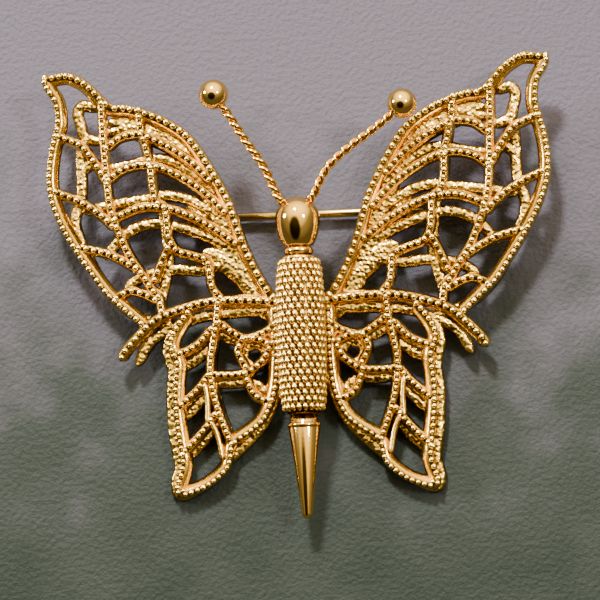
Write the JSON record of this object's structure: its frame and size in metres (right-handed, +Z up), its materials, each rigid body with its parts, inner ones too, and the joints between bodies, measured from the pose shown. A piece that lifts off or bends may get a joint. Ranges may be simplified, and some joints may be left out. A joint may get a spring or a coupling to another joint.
{
  "type": "butterfly brooch",
  "caption": "Pierced two-layer metal butterfly brooch with beaded ribs, a round grained body, ball-tipped antennae and a hinged pin.",
  "frame": {"origin": "centre of the box's underside, on the surface that the brooch lies on", "axes": "+X across the wings to the wearer's left as seen from the front, +Y towards the head, +Z up out of the surface"},
  "size_m": [0.0538, 0.0482, 0.0124],
  "materials": {
    "polished_gold": "polished gold plate",
    "cast_gold": "gold plate on beaded casting, worn in the recesses",
    "pin_brass": "drawn brass wire and stamped sheet"
  },
  "bodies": {
    "brooch": {"front_wing_left": "cast_gold", "front_wing_right": "cast_gold", "back_wings": "cast_gold", "head": "polished_gold", "collar": "polished_gold", "abdomen": "cast_gold", "tail_spike": "polished_gold", "antenna_left": "polished_gold", "antenna_right": "polished_gold", "hinge_bracket": "pin_brass", "catch": "pin_brass"},
    "stem": {"pin_stem": "pin_brass"}
  },
  "joints": [
    {"name": "stem_hinge", "type": "hinge", "parent": "brooch", "child": "stem", "pos_m": [-0.0106, 0.0086, 0.00121], "axis": [0, 0.9946, 0.1034], "range_deg": [0, 65]}
  ]
}
